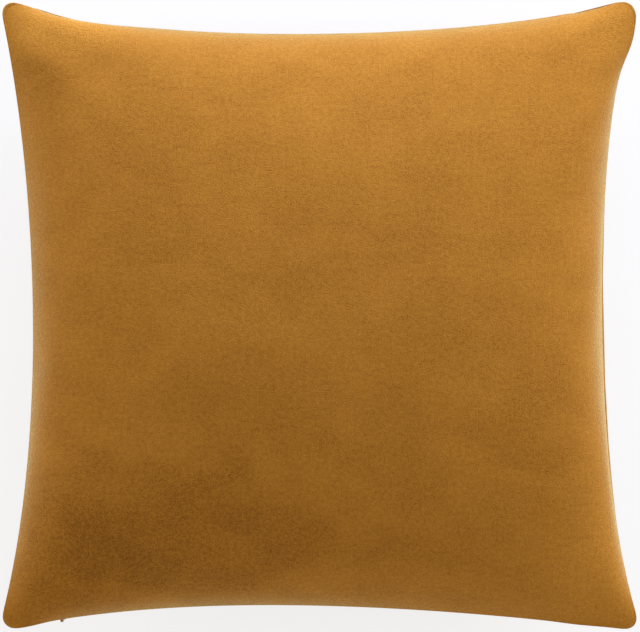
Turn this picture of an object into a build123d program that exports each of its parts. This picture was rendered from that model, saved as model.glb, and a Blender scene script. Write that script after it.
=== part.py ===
from build123d import *
import os
from math import cos, degrees, radians, sin

# A square velvet throw pillow with knife edges: a zipped cover round a filled insert.
# It lies on its back panel with its front panel up. +X is the right of the front panel
# and +Y its top, the zip runs along the bottom edge (-Y), and the origin is on the
# floor under the middle. Millimetres.

# The outline in the seam plane: four sides, each a curve of degree four. Its pulls say
# how far the curve's three middle control points lie inside the line between two corners.
corner_left = -253.1
corner_right = 253.8
corner_bottom = -248.7
corner_top = 251.1
bottom_pull = (28.5, 24.5, 15.5)
top_pull = (44, 26, 37)
left_pull = (34, 32, 28)
right_pull = (42, 18, 50)
corner_radius = 9
corner_lead = 1.44      # how much further than a side a sharp corner moves on an inset

# The filled shape: both faces are domes, and the back dome is pressed flat on the floor.
crown = 83
seam_height = 78
edge_lift = 1.63        # steepness of the cover at the seam
insert_edge_lift = 1.70
overrun = 1.5           # the domes meet this far outside the outline

# Cover fabric and sewing.
velvet = 1.5
wall_inset = 2.1        # the same thickness measured level at the steep edge
allowance = 13
allowance_thickness = 1.3
thread = 0.3
thread_width = 0.4
seam_thread_inset = 3
overlock_width = 0.5

# Insert: thin ticking round loose filling, with a seam of its own.
insert_inset = 18
insert_gap = 0.6
ticking = 0.5
insert_allowance = 8
fill_gap = 0.3

# Concealed zip: it follows an arc just inside the bottom edge.
zip_center = (-24, -1779)
zip_radius = 1552.5
zip_start = -6.9        # degrees from +Y towards +X, the closed end
zip_end = 8.2
lip_depth = 2.4
lip_gap = 0.6
channel_depth = 7.0
channel_half = 2.85
facing_thickness = 1.3
coil_near = 3.6
coil_far = 5.2
coil_half = 1.5
coil_spine = 0.4
tooth_width = 0.5
tooth_depth = 1.2
tooth_pitch = 1.3
tooth_cross = 0.3
tape_thickness = 0.45
tape_edge = 15
stop_length = 2.4
slider_length = 9
slider_half = 2.3
slider_wall = 0.45
pull_pivot = -3.7       # level distance of the pull's pivot from the zip line
pull_length = 16
pull_width = 4.6
pull_thickness = 0.7

# Labels, both blank.
label_thickness = 0.3
care_label_width = 24
insert_label_width = 16

seam_plane = Plane.XY.offset(seam_height)
zip_axis = Axis((*zip_center, 0), (0, 0, -1))
degrees_per_mm = degrees(1 / zip_radius)
FRONT, BACK = 1, -1


def side_curve(start, end, pulls, inset, inward):
    """Five control points of one side between two corners that are inset already."""
    points = [start]
    for step, pull in zip((0.25, 0.5, 0.75), pulls):
        depth = pull + inset - corner_lead * inset
        points.append(start + (end - start) * step + Vector(inward) * depth)
    return points + [end]


def sides(inset):
    """Control points of the bottom, right, top and left sides."""
    lead = corner_lead * inset
    low_left = Vector(corner_left + lead, corner_bottom + lead)
    low_right = Vector(corner_right - lead, corner_bottom + lead)
    top_left = Vector(corner_left + lead, corner_top - lead)
    top_right = Vector(corner_right - lead, corner_top - lead)
    bottom = side_curve(low_left, low_right, bottom_pull, inset, (0, 1))
    right = side_curve(low_right, top_right, right_pull, inset, (-1, 0))
    top = side_curve(top_left, top_right, top_pull, inset, (0, -1))
    left = side_curve(low_left, top_left, left_pull, inset, (1, 0))
    return bottom, right, top, left


def outline(inset, radius, plane=seam_plane):
    """The pillow's outline, inset from the seam, as a face with rounded corners."""
    with BuildSketch(plane) as shape:
        with BuildLine():
            for side in sides(inset):
                Bezier(*side)
        make_face()
        fillet(shape.vertices(), radius)
    return shape.sketch


def dome(inset, height, lift, side):
    """A smooth surface over the outline, as high as the crown in the middle."""
    bottom, right, top, left = sides(inset - overrun)
    middle = (16 - 8 * lift) / 6
    lifts = (0, lift, middle, lift, 0)
    net = []
    for i in range(5):
        u = i / 4
        row = []
        for j in range(5):
            v = j / 4
            across = left[j] * (1 - u) + right[j] * u
            along = bottom[i] * (1 - v) + top[i] * v
            low = bottom[0] * (1 - u) + bottom[4] * u
            high = top[0] * (1 - u) + top[4] * u
            point = across + along - low * (1 - v) - high * v
            rise = side * height * lifts[i] * lifts[j]
            row.append((point.X, point.Y, seam_height + rise))
        net.append(row)
    return Face.make_bezier_surface(net)


def half_pillow(inset, height, lift, side, floor=0):
    """One half from the seam plane out to its dome, pressed flat on the floor."""
    surface = dome(inset, height, lift, side)
    with BuildPart() as half:
        add(outline(inset, corner_radius))
        extrude(amount=side * (height + 5))
        split(bisect_by=surface, keep=Keep.BOTTOM if side == FRONT else Keep.TOP)
        if side == BACK:
            split(bisect_by=Plane.XY.offset(floor), keep=Keep.TOP)
    return half.part


def flat_ring(outer, inner, low, high, side):
    """A flat band that follows the outline between two insets."""
    with BuildPart() as ring:
        with BuildSketch(Plane.XY.offset(seam_height + side * low)):
            add(outline(outer, corner_radius, Plane.XY))
            add(outline(inner, corner_radius, Plane.XY), mode=Mode.SUBTRACT)
        extrude(amount=side * (high - low))
    return ring.part


def zip_section(angle):
    """A plane across the zip: its x runs inward from the zip line's centre, its y up."""
    turn = radians(angle)
    return Plane(
        origin=(*zip_center, seam_height),
        x_dir=(sin(turn), cos(turn), 0),
        z_dir=(cos(turn), -sin(turn), 0),
    )


def zip_band(corners, side, start=zip_start, end=zip_end):
    """A profile of (depth, height) corners carried along the zip's arc."""
    with BuildPart() as band:
        with BuildSketch(zip_section(start)):
            with BuildLine():
                points = [(zip_radius + depth, side * height) for depth, height in corners]
                Polyline(*points, close=True)
            make_face()
        revolve(axis=zip_axis, revolution_arc=end - start)
    return band.part


def block(near, far, low, high):
    """The four corners of a rectangular profile."""
    return [(near, low), (far, low), (far, high), (near, high)]


def slider_plane(angle):
    """A level plane on the zip line: x along the zip, y inward."""
    turn = radians(angle)
    return Plane(
        origin=(
            zip_center[0] + zip_radius * sin(turn),
            zip_center[1] + zip_radius * cos(turn),
            seam_height,
        ),
        x_dir=(cos(turn), -sin(turn), 0),
        z_dir=(0, 0, 1),
    )


os.makedirs("parts", exist_ok=True)

# Cover panels: a domed skin, its seam allowance, and the facing that hides the zip.
cover_body = {
    side: half_pillow(0, crown, edge_lift, side) for side in (FRONT, BACK)
}
cover_hollow = {
    side: half_pillow(wall_inset, crown - velvet, edge_lift, side, velvet)
    for side in (FRONT, BACK)
}
zip_room = zip_band(block(lip_depth, tape_edge + 1.5, -6, 6), FRONT)
zip_stretch = zip_band(block(-10, tape_edge + 1.5, -6, 6), FRONT)
facing_top = channel_half + facing_thickness


def cover_panel(side):
    """One half of the cover, with its allowance and its side of the zip opening."""
    facing = [
        (-10, 0),
        (lip_depth, 0),
        (lip_depth, channel_half),
        (allowance, channel_half),
        (allowance, facing_top),
        (-10, facing_top),
    ]
    with BuildPart() as edges:
        add(flat_ring(1, allowance, 0, allowance_thickness, side))
        add(zip_room, mode=Mode.SUBTRACT)
        add(zip_band(facing, side))
        add(cover_body[side], mode=Mode.INTERSECT)
    with BuildPart() as panel:
        add(cover_body[side])
        add(cover_hollow[side], mode=Mode.SUBTRACT)
        add(edges.part)
        slot = block(-10, lip_depth + 0.1, -lip_gap, lip_gap)
        add(zip_band(slot, FRONT), mode=Mode.SUBTRACT)
        channel = block(lip_depth, channel_depth, -channel_half, channel_half)
        add(zip_band(channel, FRONT), mode=Mode.SUBTRACT)
    return panel.part


with BuildPart() as cover_front_panel:
    add(cover_panel(FRONT))
cover_front_panel.part.label = "cover_front_panel"
export_step(cover_front_panel.part, "parts/cover_front_panel.step")

with BuildPart() as cover_back_panel:
    add(cover_panel(BACK))
cover_back_panel.part.label = "cover_back_panel"
export_step(cover_back_panel.part, "parts/cover_back_panel.step")


# The two threads of the cover's lockstitch, one on each allowance, stopping at the zip.
def seam_thread_row(side):
    """A row of stitches laid on one allowance as one flat thread."""
    outer = seam_thread_inset - thread_width / 2
    inner = seam_thread_inset + thread_width / 2
    low = allowance_thickness
    with BuildPart() as row:
        add(flat_ring(outer, inner, low, low + thread, side))
        add(cover_hollow[side], mode=Mode.INTERSECT)
        add(zip_stretch, mode=Mode.SUBTRACT)
    return row.part


with BuildPart() as cover_needle_thread:
    add(seam_thread_row(FRONT))
cover_needle_thread.part.label = "cover_needle_thread"
export_step(cover_needle_thread.part, "parts/cover_needle_thread.step")

with BuildPart() as cover_bobbin_thread:
    add(seam_thread_row(BACK))
cover_bobbin_thread.part.label = "cover_bobbin_thread"
export_step(cover_bobbin_thread.part, "parts/cover_bobbin_thread.step")

# Overlocking on the raw edges: round both allowances together, and each facing alone.
with BuildPart() as cover_overlock:
    wrap = allowance_thickness + 0.1
    add(flat_ring(allowance, allowance + overlock_width, -wrap, wrap, FRONT))
    add(zip_room, mode=Mode.SUBTRACT)
    facing_edge = block(allowance, allowance + overlock_width, channel_half, facing_top + 0.1)
    for face in (FRONT, BACK):
        add(zip_band(facing_edge, face))
cover_overlock.part.label = "cover_overlock"
export_step(cover_overlock.part, "parts/cover_overlock.step")

# Zip tapes: each leaves its row of teeth at the middle and flares out to its facing.
tape_profile = [
    (coil_far, 0.1),
    (7.0, 0.1),
    (9.6, channel_half - 0.05 - tape_thickness),
    (tape_edge, channel_half - 0.05 - tape_thickness),
    (tape_edge, channel_half - 0.05),
    (9.4, channel_half - 0.05),
    (6.8, 0.1 + tape_thickness),
    (coil_far, 0.1 + tape_thickness),
]

with BuildPart() as zip_tape_front:
    add(zip_band(tape_profile, FRONT))
zip_tape_front.part.label = "zip_tape_front"
export_step(zip_tape_front.part, "parts/zip_tape_front.step")

with BuildPart() as zip_tape_back:
    add(zip_band(tape_profile, BACK))
zip_tape_back.part.label = "zip_tape_back"
export_step(zip_tape_back.part, "parts/zip_tape_back.step")

# Zip teeth: two rows that interleave across the seam plane, between the end stops.
row_start = zip_start + (stop_length + 0.3) * degrees_per_mm
row_end = zip_end - (stop_length + 0.3) * degrees_per_mm
tooth_count = int((row_end - row_start) / degrees_per_mm / tooth_pitch) - 1


def tooth_row(side, first):
    """A spine with teeth that reach just past the seam plane, the first one at an angle."""
    spine_low = coil_half - coil_spine
    tooth_height = spine_low + tooth_cross
    tooth_middle = seam_height + side * (spine_low - tooth_height / 2)
    tooth_radius = zip_radius + (coil_near + coil_far) / 2
    spacing = tooth_pitch * degrees_per_mm
    with BuildPart() as row:
        add(zip_band(block(coil_near, coil_far, spine_low, coil_half), side, row_start, row_end))
        with Locations((*zip_center, tooth_middle)):
            with PolarLocations(
                radius=tooth_radius,
                count=tooth_count,
                start_angle=90 - first - tooth_count * spacing,
                angular_range=tooth_count * spacing,
            ):
                Box(tooth_depth, tooth_width, tooth_height)
    return row.part


with BuildPart() as zip_coil_front:
    add(tooth_row(FRONT, row_start))
zip_coil_front.part.label = "zip_coil_front"
export_step(zip_coil_front.part, "parts/zip_coil_front.step")

with BuildPart() as zip_coil_back:
    add(tooth_row(BACK, row_start + tooth_pitch / 2 * degrees_per_mm))
zip_coil_back.part.label = "zip_coil_back"
export_step(zip_coil_back.part, "parts/zip_coil_back.step")

# Stops: one on each row at the closed end, and one across both rows at the other end.
with BuildPart() as zip_top_stops:
    for face in (FRONT, BACK):
        clamp = block(coil_near, coil_far, 0.15, coil_half)
        add(zip_band(clamp, face, zip_start, zip_start + stop_length * degrees_per_mm))
zip_top_stops.part.label = "zip_top_stops"
export_step(zip_top_stops.part, "parts/zip_top_stops.step")

with BuildPart() as zip_bottom_stop:
    clamp = block(coil_near, coil_far, -coil_half, coil_half)
    add(zip_band(clamp, FRONT, zip_end - stop_length * degrees_per_mm, zip_end))
zip_bottom_stop.part.label = "zip_bottom_stop"
export_step(zip_bottom_stop.part, "parts/zip_bottom_stop.step")

# Slider: a channel round both rows, open inward for the tapes, with a thin neck outward.
slider_angle = zip_start + (stop_length + 0.5 + slider_length / 2) * degrees_per_mm
slider_far = coil_far + 0.4 + slider_wall
slider_near = coil_near - 0.35 - slider_wall
slider_mouth = 0.9
slider_level = slider_plane(slider_angle)
pull_level = Plane(            # square to the zip line: x down, y inward
    origin=slider_level.origin, x_dir=(0, 0, -1), z_dir=slider_level.x_dir
)

with BuildPart() as zip_slider_body:
    with BuildSketch(zip_section(slider_angle)):
        middle = zip_radius + (slider_near + slider_far) / 2
        depth = slider_far - slider_near
        with Locations((middle, 0)):
            Rectangle(depth, 2 * slider_half)
            inside = 2 * (slider_half - slider_wall)
            Rectangle(depth - 2 * slider_wall, inside, mode=Mode.SUBTRACT)
        with Locations((zip_radius + slider_far, 0)):
            Rectangle(2 * slider_wall + 0.2, 2 * slider_mouth, mode=Mode.SUBTRACT)
    extrude(amount=slider_length / 2, both=True)
    with BuildSketch(slider_plane(slider_angle)):
        with BuildLine():
            Polyline(
                (-2.2, slider_near + 0.1),
                (2.2, slider_near + 0.1),
                (0.3, pull_pivot + 1.3),
                (0.3, pull_pivot + 0.7),
                (-0.3, pull_pivot + 0.7),
                (-0.3, pull_pivot + 1.3),
                close=True,
            )
        make_face()
    extrude(amount=0.3, both=True)
    with BuildSketch(pull_level):
        with Locations((0, pull_pivot)):
            Circle(1.0)
            Circle(0.5, mode=Mode.SUBTRACT)
    extrude(amount=0.3, both=True)
zip_slider_body.part.label = "zip_slider_body"
export_step(zip_slider_body.part, "parts/zip_slider_body.step")

# Pull tab: two ears and a pin through the neck, and a teardrop plate that hangs from the seam.
pull_face = Plane(
    origin=pull_level.from_local_coords((0, pull_pivot + 0.9, 0)),
    x_dir=pull_level.x_dir,
    z_dir=pull_level.y_dir * -1,
)

with BuildPart() as zip_pull_tab:
    with BuildSketch(pull_level):
        with Locations((0, pull_pivot)):
            Circle(0.9)
        with Locations((1.6, pull_pivot + 0.9 - pull_thickness / 2)):
            Rectangle(3.2, pull_thickness)
    extrude(amount=1.15, both=True)
    with BuildSketch(pull_level):
        with Locations((0.4, pull_pivot)):
            Rectangle(4, 2.4)
    extrude(amount=0.45, both=True, mode=Mode.SUBTRACT)
    with BuildSketch(pull_level):
        with Locations((0, pull_pivot)):
            Circle(0.42)
    extrude(amount=0.9, both=True)
    with BuildSketch(pull_face):
        with BuildLine():
            narrow, wide = 1.3, pull_width / 2
            Polyline(
                (3.2, -narrow),
                (pull_length - wide, -wide),
                (pull_length - wide, wide),
                (3.2, narrow),
                close=True,
            )
        make_face()
        with Locations((3.2, 0)):
            Circle(narrow)
        with Locations((pull_length - wide, 0)):
            Circle(wide)
            Circle(wide / 2, mode=Mode.SUBTRACT)
    extrude(amount=pull_thickness)
zip_pull_tab.part.label = "zip_pull_tab"
export_step(zip_pull_tab.part, "parts/zip_pull_tab.step")

# Threads that hold the tapes to the facings, and the tacks at both ends of the opening.
zip_stitch = block(10, 10 + thread_width, facing_top, facing_top + thread)

with BuildPart() as zip_stitches_front:
    add(zip_band(zip_stitch, FRONT))
zip_stitches_front.part.label = "zip_stitches_front"
export_step(zip_stitches_front.part, "parts/zip_stitches_front.step")

with BuildPart() as zip_stitches_back:
    add(zip_band(zip_stitch, BACK))
zip_stitches_back.part.label = "zip_stitches_back"
export_step(zip_stitches_back.part, "parts/zip_stitches_back.step")

with BuildPart() as zip_end_tacks:
    tack = block(4, 9, allowance_thickness, allowance_thickness + thread)
    for face in (FRONT, BACK):
        add(zip_band(tack, face, zip_start - 2.5 * degrees_per_mm, zip_start - degrees_per_mm))
        add(zip_band(tack, face, zip_end + degrees_per_mm, zip_end + 2.5 * degrees_per_mm))
zip_end_tacks.part.label = "zip_end_tacks"
export_step(zip_end_tacks.part, "parts/zip_end_tacks.step")

# Insert: two panels of ticking with their own seam, and the filling.
insert_height = crown - velvet - insert_gap
insert_floor = velvet + insert_gap
ticking_inset = insert_inset + 1.3 * ticking
fill_inset = ticking_inset + fill_gap + 0.1


def ticking_panel(side):
    """One half of the insert's bag, with its seam allowance inside."""
    body = half_pillow(insert_inset, insert_height, insert_edge_lift, side, insert_floor)
    hollow = half_pillow(
        ticking_inset, insert_height - ticking, insert_edge_lift, side, insert_floor + ticking
    )
    ring = flat_ring(insert_inset + 0.3, insert_inset + insert_allowance, 0, ticking, side)
    with BuildPart() as panel:
        add(body)
        add(hollow, mode=Mode.SUBTRACT)
        add(ring)
    return panel.part


with BuildPart() as insert_front_ticking:
    add(ticking_panel(FRONT))
insert_front_ticking.part.label = "insert_front_ticking"
export_step(insert_front_ticking.part, "parts/insert_front_ticking.step")

with BuildPart() as insert_back_ticking:
    add(ticking_panel(BACK))
insert_back_ticking.part.label = "insert_back_ticking"
export_step(insert_back_ticking.part, "parts/insert_back_ticking.step")

with BuildPart() as insert_seam_thread:
    for face in (FRONT, BACK):
        add(flat_ring(insert_inset + 2, insert_inset + 2.3, ticking, ticking + 0.2, face))
insert_seam_thread.part.label = "insert_seam_thread"
export_step(insert_seam_thread.part, "parts/insert_seam_thread.step")

# The filling opening, closed by hand along the insert's bottom edge.
with BuildPart() as insert_closing_stitch:
    add(flat_ring(insert_inset - thread, insert_inset, -thread, thread, FRONT))
    with Locations((0, corner_bottom + insert_inset + 25, seam_height)):
        Box(130, 50, 4, mode=Mode.INTERSECT)
insert_closing_stitch.part.label = "insert_closing_stitch"
export_step(insert_closing_stitch.part, "parts/insert_closing_stitch.step")

with BuildPart() as insert_fill:
    for face in (FRONT, BACK):
        fill_height = insert_height - ticking - fill_gap
        fill_floor = insert_floor + ticking + fill_gap
        add(half_pillow(fill_inset, fill_height, insert_edge_lift, face, fill_floor))
    groove = ticking + 0.3
    end_of_allowance = insert_inset + insert_allowance + fill_gap
    add(flat_ring(insert_inset, end_of_allowance, -groove, groove, FRONT), mode=Mode.SUBTRACT)
insert_fill.part.label = "insert_fill"
export_step(insert_fill.part, "parts/insert_fill.step")


# Labels: folded tape, held at a seam and lying in the space beside the insert.
def label_tape(control_points, place, width, profile):
    """A strip with a profile of (depth, height) corners at one place on a side."""
    seam = Bezier(*control_points, mode=Mode.PRIVATE)
    inward = seam.tangent_at(place).rotate(Axis.Z, -90)
    if inward.dot(seam.position_at(place)) > 0:
        inward = inward * -1
    origin = seam.position_at(place) + Vector(0, 0, seam_height)
    with BuildPart() as strip:
        with BuildSketch(Plane(origin=origin, x_dir=inward, z_dir=inward.cross(Vector(0, 0, 1)))):
            with BuildLine():
                Polyline(*profile, close=True)
            make_face()
        extrude(amount=width / 2, both=True)
    return strip.part


with BuildPart() as care_label:
    top = -allowance_thickness - 0.02
    low = top - label_thickness
    care_profile = [(4, top), (12.5, top), (34, -20), (34, -20.4), (12.4, low), (4, low)]
    add(label_tape(sides(0)[3], 0.25, care_label_width, care_profile))
care_label.part.label = "care_label"
export_step(care_label.part, "parts/care_label.step")

with BuildPart() as insert_label:
    root = insert_inset - 0.1
    bend = insert_inset - 2.8
    half = label_thickness / 2
    insert_profile = [
        (root, half),
        (bend, half),
        (bend, -0.6),
        (36, -24.7),
        (36, -24.2),
        (bend + label_thickness, -0.4),
        (bend + label_thickness, -half),
        (root, -half),
    ]
    add(label_tape(sides(0)[1], 0.7, insert_label_width, insert_profile))
insert_label.part.label = "insert_label"
export_step(insert_label.part, "parts/insert_label.step")
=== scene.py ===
import math

import bpy
import numpy as np
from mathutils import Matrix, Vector, noise
from mathutils.bvhtree import BVHTree


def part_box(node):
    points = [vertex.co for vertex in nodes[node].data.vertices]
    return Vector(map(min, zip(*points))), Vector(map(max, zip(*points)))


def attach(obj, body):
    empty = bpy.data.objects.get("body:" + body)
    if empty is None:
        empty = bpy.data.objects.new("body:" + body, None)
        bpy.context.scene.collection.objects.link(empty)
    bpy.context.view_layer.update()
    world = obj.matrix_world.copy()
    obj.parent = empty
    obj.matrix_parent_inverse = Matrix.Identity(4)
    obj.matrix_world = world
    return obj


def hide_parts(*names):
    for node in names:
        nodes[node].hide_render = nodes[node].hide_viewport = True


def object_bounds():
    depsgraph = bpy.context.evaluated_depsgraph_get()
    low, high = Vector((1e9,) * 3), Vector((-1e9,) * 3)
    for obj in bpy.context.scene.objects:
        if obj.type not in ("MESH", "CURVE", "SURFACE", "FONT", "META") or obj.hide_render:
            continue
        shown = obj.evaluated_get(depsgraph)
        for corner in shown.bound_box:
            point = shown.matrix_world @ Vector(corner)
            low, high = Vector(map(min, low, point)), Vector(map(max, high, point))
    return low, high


# A velvet throw pillow. The CAD frame says where the seam, the zip and the insert are; this
# script sews the cover from its flat cut, fills it with the Cloth solver, and dresses the rest.

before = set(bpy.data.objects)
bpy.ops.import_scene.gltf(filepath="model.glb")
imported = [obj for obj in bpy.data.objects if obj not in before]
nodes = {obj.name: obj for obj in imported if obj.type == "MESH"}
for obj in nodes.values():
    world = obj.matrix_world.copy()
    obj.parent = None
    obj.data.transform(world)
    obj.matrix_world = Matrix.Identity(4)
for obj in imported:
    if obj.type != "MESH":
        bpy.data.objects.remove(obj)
cad_low, cad_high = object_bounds()
scene = bpy.context.scene

# ------------------------------------------------------------------ the seam line, in metres
# The same curves as in the CAD: four sides of degree four between the corners.
LEFT, RIGHT, BOTTOM, TOP = -0.2531, 0.2538, -0.2487, 0.2511
PULLS = {
    "bottom": (0.0285, 0.0245, 0.0155),
    "right": (0.042, 0.018, 0.050),
    "top": (0.044, 0.026, 0.037),
    "left": (0.034, 0.032, 0.028),
}
CORNER_LEAD = 1.44
CORNER_RADIUS = 0.009
SEAM_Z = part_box("cover_overlock")[0].z + 0.5 * (
    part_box("cover_overlock")[1].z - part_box("cover_overlock")[0].z
)
CROWN = cad_high.z - SEAM_Z
CUT = 0.508            # the cover's finished width in the flat, seam to seam
ALLOWANCE = 0.013
CLOTH = 0.0012         # velvet's thickness
FOLD = 0.0013          # radius of the fold beside the seam
FOLD_ROOM = 0.0006     # how far the fold falls short of its own tip
FLOOR = -SEAM_Z

# The concealed zip follows an arc inside the bottom edge.
ZIP_CENTER = np.array((-0.024, -1.779))
ZIP_RADIUS = 1.5525
ZIP_START, ZIP_END = math.radians(-6.9), math.radians(8.2)
LIP, CHANNEL = 0.0024, 0.00285
LIP_HALF_GAP = 0.0004


def bezier(points, t):
    """Points of a Bezier curve of any degree at the values t."""
    n = len(points) - 1
    t = np.asarray(t, float)[:, None]
    out = 0
    for i, p in enumerate(points):
        out = out + math.comb(n, i) * t**i * (1 - t) ** (n - i) * np.asarray(p, float)
    return out


def seam_sides(inset):
    """The four sides in ring order: bottom, right, top and left, counter-clockwise."""
    lead = CORNER_LEAD * inset
    x0, x1 = LEFT + lead, RIGHT - lead
    y0, y1 = BOTTOM + lead, TOP - lead
    ends = {
        "bottom": ((x0, y0), (x1, y0), (0, 1)),
        "right": ((x1, y0), (x1, y1), (-1, 0)),
        "top": ((x0, y1), (x1, y1), (0, -1)),
        "left": ((x0, y0), (x0, y1), (1, 0)),
    }
    made = {}
    for name, (a, b, inward) in ends.items():
        a, b, inward = (np.array(v, float) for v in (a, b, inward))
        net = [a]
        for step, pull in zip((0.25, 0.5, 0.75), PULLS[name]):
            net.append(a + (b - a) * step + inward * (pull + inset - lead))
        made[name] = net + [b]
    return [made["bottom"], made["right"], made["top"][::-1], made["left"][::-1]]


def seam_ring(inset, n):
    """4n points on the seam line, inset, with its corners rounded."""
    sides = seam_sides(inset)
    rows = []
    for s in range(4):
        before, side, after = sides[s - 1], sides[s], sides[(s + 1) % 4]
        points = bezier(side, np.arange(n) / n)
        length = np.linalg.norm(side[-1] - side[0])
        for end in (0, 1):
            corner = side[0] if end == 0 else side[-1]
            own = bezier(side, [0.02 if end == 0 else 0.98])[0] - corner
            other = (
                bezier(before, [0.98])[0] if end == 0 else bezier(after, [0.02])[0]
            ) - corner
            own, other = own / np.linalg.norm(own), other / np.linalg.norm(other)
            opening = math.acos(float(own @ other))
            reach = CORNER_RADIUS / math.tan(opening / 2)
            middle = own + other
            centre = corner + middle / np.linalg.norm(middle) * (
                CORNER_RADIUS / math.sin(opening / 2)
            )
            start = corner + own * reach - centre
            turn = math.pi - opening
            tip = corner - centre
            side_of = math.copysign(1, start[0] * tip[1] - start[1] * tip[0])
            for k in range(n):
                away = (k / n if end == 0 else 1 - k / n) * length
                if away < reach:
                    angle = side_of * turn / 2 * (1 - away / reach)
                    c, q = math.cos(angle), math.sin(angle)
                    points[k] = centre + np.array(
                        (c * start[0] - q * start[1], q * start[0] + c * start[1])
                    )
        rows.append(points)
    return strayed(np.concatenate(rows), n)


# Where the filled edge strays from the even curve: side, place along it, spread, metres out.
STRAYS = (
    (1, 0.930, 0.040, 0.0046),
    (2, 0.060, 0.035, 0.0014),
    (2, 0.850, 0.060, -0.0026),
    (0, 0.045, 0.030, 0.0014),
    (0, 0.900, 0.035, 0.0007),
)


def strayed(ring, n):
    """The ring with those small local shifts, each straight out from its side."""
    out = ((0, -1), (1, 0), (0, 1), (-1, 0))
    ring = ring.copy()
    for side, place, spread, shift in STRAYS:
        t = (np.arange(len(ring)) / n - side - place) / spread
        ring += shift * np.exp(-t**2)[:, None] * np.array(out[side], float)
    return ring


# Where the seam has rolled towards the front, so that a sliver of the back panel shows past it.
ROLLS = ((1, 0.41, 0.27), (2, 0.072, 0.034), (2, 0.880, 0.055))
ROLL_UP, ROLL_IN = 0.0042, 0.0020


def rolled(n):
    """How far the seam has rolled at each point of the ring, from 0 to 1."""
    share = np.zeros(4 * n)
    for side, place, spread in ROLLS:
        t = (np.arange(4 * n) / n - side - place) / spread
        share = np.maximum(share, np.exp(-(t**4)))
    return share[:, None]


def rolled_ring(inset, n):
    """The seam line with its roll, in three dimensions; heights are from the seam plane."""
    flat = seam_ring(inset, n)
    inner = seam_ring(inset + ROLL_IN, n)
    return np.hstack([flat + (inner - flat) * rolled(n), ROLL_UP * rolled(n)])


def ring_index(n):
    """The grid places (i across, j up) of the ring's points, in ring order."""
    return (
        [(k, 0) for k in range(n)]
        + [(n, k) for k in range(n)]
        + [(n - k, n) for k in range(n)]
        + [(0, n - k) for k in range(n)]
    )


def patch(ring, n):
    """A grid of points spanned between the ring's four sides."""
    grid = np.zeros((n + 1, n + 1, ring.shape[1]))
    for (i, j), p in zip(ring_index(n), ring):
        grid[i, j] = p
    u = (np.arange(n + 1) / n)[:, None, None]
    v = (np.arange(n + 1) / n)[None, :, None]
    across = grid[:1, :] * (1 - u) + grid[-1:, :] * u
    along = grid[:, :1] * (1 - v) + grid[:, -1:] * v
    corners = (
        grid[0, 0] * (1 - u) * (1 - v)
        + grid[-1, 0] * u * (1 - v)
        + grid[0, -1] * (1 - u) * v
        + grid[-1, -1] * u * v
    )
    return across + along - corners


def smoothstep(x):
    x = np.clip(x, 0, 1)
    return x * x * (3 - 2 * x)


def link(name, points, faces, smooth=True):
    """A new mesh object in the scene."""
    mesh = bpy.data.meshes.new(name)
    mesh.from_pydata([tuple(p) for p in points], [], faces)
    mesh.update()
    if smooth:
        mesh.polygons.foreach_set("use_smooth", [True] * len(mesh.polygons))
    piece = bpy.data.objects.new(name, mesh)
    scene.collection.objects.link(piece)
    return piece


def apply_modifiers(piece):
    """Leaves the piece with its final mesh and no modifier."""
    evaluated = piece.evaluated_get(bpy.context.evaluated_depsgraph_get())
    mesh = bpy.data.meshes.new_from_object(evaluated)
    old = piece.data
    piece.modifiers.clear()
    piece.data = mesh
    bpy.data.meshes.remove(old)
    mesh.name = piece.name


# ------------------------------------------------------------------ filling the cover
SIM = 48               # cells across the simulated cover
MESH = 80              # cells across its finished mesh, before its subdivision
SEWN_BY = 12           # the frame by which the seam has been drawn in


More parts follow.
